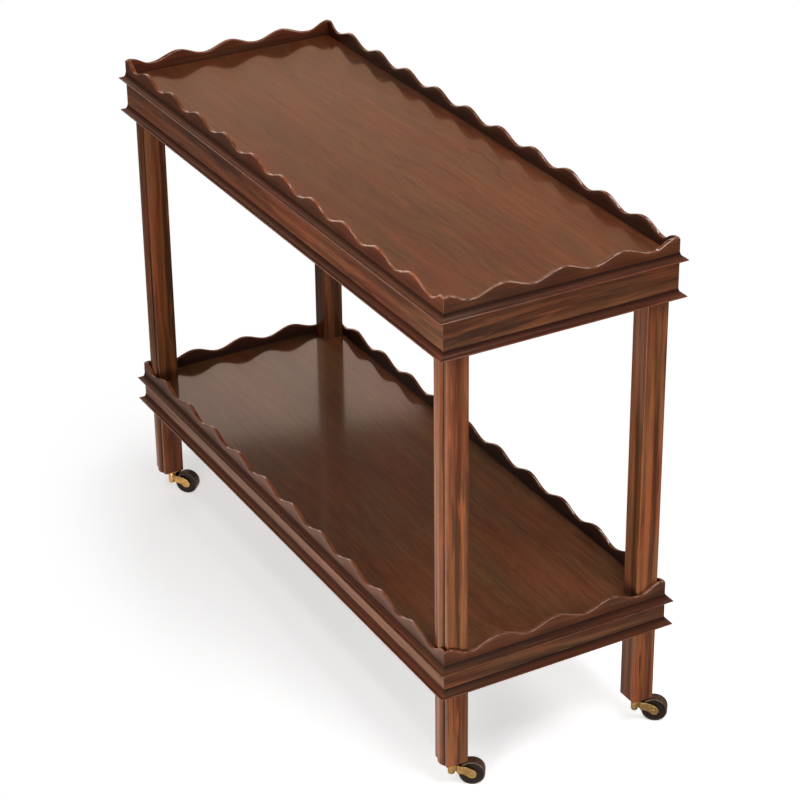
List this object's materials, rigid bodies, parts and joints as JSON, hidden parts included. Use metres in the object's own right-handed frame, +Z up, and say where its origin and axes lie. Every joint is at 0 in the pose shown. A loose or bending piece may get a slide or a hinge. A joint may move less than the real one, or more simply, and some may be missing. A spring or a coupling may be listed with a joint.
{
  "type": "serving trolley",
  "caption": "Two-tier serving trolley with scalloped galleries, coved mouldings and square beaded legs on swivel casters.",
  "frame": {"origin": "centre of the outer box at floor level; the back wheels trail past the tray at rest, so the trays' own centre lies 3.0 mm towards the front", "axes": "+Z up, +X along the long sides to the right end, -Y the front long side"},
  "size_m": [0.9336, 0.3576, 0.7145],
  "materials": {
    "panel_wood": "dark red-brown mahogany, satin lacquer",
    "trim_wood": "dark red-brown mahogany, satin lacquer",
    "frame_wood": "red-brown mahogany, satin lacquer",
    "dowel_wood": "plain beech",
    "brass": "aged brass",
    "wheel_brown": "dark brown, turned"
  },
  "bodies": {
    "trolley": {"top_board": "panel_wood", "low_board": "panel_wood", "top_gallery_front": "trim_wood", "top_gallery_right": "trim_wood", "top_gallery_back": "trim_wood", "top_gallery_left": "trim_wood", "low_gallery_front": "trim_wood", "low_gallery_right": "trim_wood", "low_gallery_back": "trim_wood", "low_gallery_left": "trim_wood", "top_frieze_front": "frame_wood", "top_frieze_right": "frame_wood", "top_frieze_back": "frame_wood", "top_frieze_left": "frame_wood", "low_frieze_front": "frame_wood", "low_frieze_right": "frame_wood", "low_frieze_back": "frame_wood", "low_frieze_left": "frame_wood", "top_upper_moulding_front": "trim_wood", "top_upper_moulding_right": "trim_wood", "top_upper_moulding_back": "trim_wood", "top_upper_moulding_left": "trim_wood", "top_lower_moulding_front": "trim_wood", "top_lower_moulding_right": "trim_wood", "top_lower_moulding_back": "trim_wood", "top_lower_moulding_left": "trim_wood", "low_upper_moulding_front": "trim_wood", "low_upper_moulding_right": "trim_wood", "low_upper_moulding_back": "trim_wood", "low_upper_moulding_left": "trim_wood", "low_lower_moulding_front": "trim_wood", "low_lower_moulding_right": "trim_wood", "low_lower_moulding_back": "trim_wood", "low_lower_moulding_left": "trim_wood", "leg_front_right": "frame_wood", "leg_front_left": "frame_wood", "leg_back_right": "frame_wood", "leg_back_left": "frame_wood", "dowels": "dowel_wood", "caster_screws": "brass", "caster_plate_front_right": "brass", "caster_plate_front_left": "brass", "caster_plate_back_right": "brass", "caster_plate_back_left": "brass", "caster_pin_front_right": "brass", "caster_pin_front_left": "brass", "caster_pin_back_right": "brass", "caster_pin_back_left": "brass"},
    "swivel_front_right": {"caster_horn_front_right": "brass", "caster_axle_front_right": "brass"},
    "wheel_front_right": {"caster_wheel_front_right": "wheel_brown"},
    "swivel_front_left": {"caster_horn_front_left": "brass", "caster_axle_front_left": "brass"},
    "wheel_front_left": {"caster_wheel_front_left": "wheel_brown"},
    "swivel_back_right": {"caster_horn_back_right": "brass", "caster_axle_back_right": "brass"},
    "wheel_back_right": {"caster_wheel_back_right": "wheel_brown"},
    "swivel_back_left": {"caster_horn_back_left": "brass", "caster_axle_back_left": "brass"},
    "wheel_back_left": {"caster_wheel_back_left": "wheel_brown"}
  },
  "joints": [
    {"name": "front_right_swivel", "type": "hinge", "parent": "trolley", "child": "swivel_front_right", "pos_m": [0.4343, -0.14571, 0.025], "axis": [0, 0, 1], "continuous": true},
    {"name": "front_left_swivel", "type": "hinge", "parent": "trolley", "child": "swivel_front_left", "pos_m": [-0.4343, -0.14571, 0.025], "axis": [0, 0, 1], "continuous": true},
    {"name": "back_right_swivel", "type": "hinge", "parent": "trolley", "child": "swivel_back_right", "pos_m": [0.4343, 0.13969, 0.025], "axis": [0, 0, 1], "continuous": true},
    {"name": "back_left_swivel", "type": "hinge", "parent": "trolley", "child": "swivel_back_left", "pos_m": [-0.4343, 0.13969, 0.025], "axis": [0, 0, 1], "continuous": true},
    {"name": "front_right_roll", "type": "hinge", "parent": "swivel_front_right", "child": "wheel_front_right", "pos_m": [0.4489, -0.12323, 0.0175], "axis": [-0.8387, 0.5446, 0], "continuous": true},
    {"name": "front_left_roll", "type": "hinge", "parent": "swivel_front_left", "child": "wheel_front_left", "pos_m": [-0.41535, -0.12676, 0.0175], "axis": [-0.7071, 0.7071, 0], "continuous": true},
    {"name": "back_right_roll", "type": "hinge", "parent": "swivel_back_right", "child": "wheel_back_right", "pos_m": [0.45058, 0.16098, 0.0175], "axis": [-0.7944, 0.6074, 0], "continuous": true},
    {"name": "back_left_roll", "type": "hinge", "parent": "swivel_back_left", "child": "wheel_back_left", "pos_m": [-0.41672, 0.15992, 0.0175], "axis": [-0.7547, 0.6561, 0], "continuous": true}
  ]
}
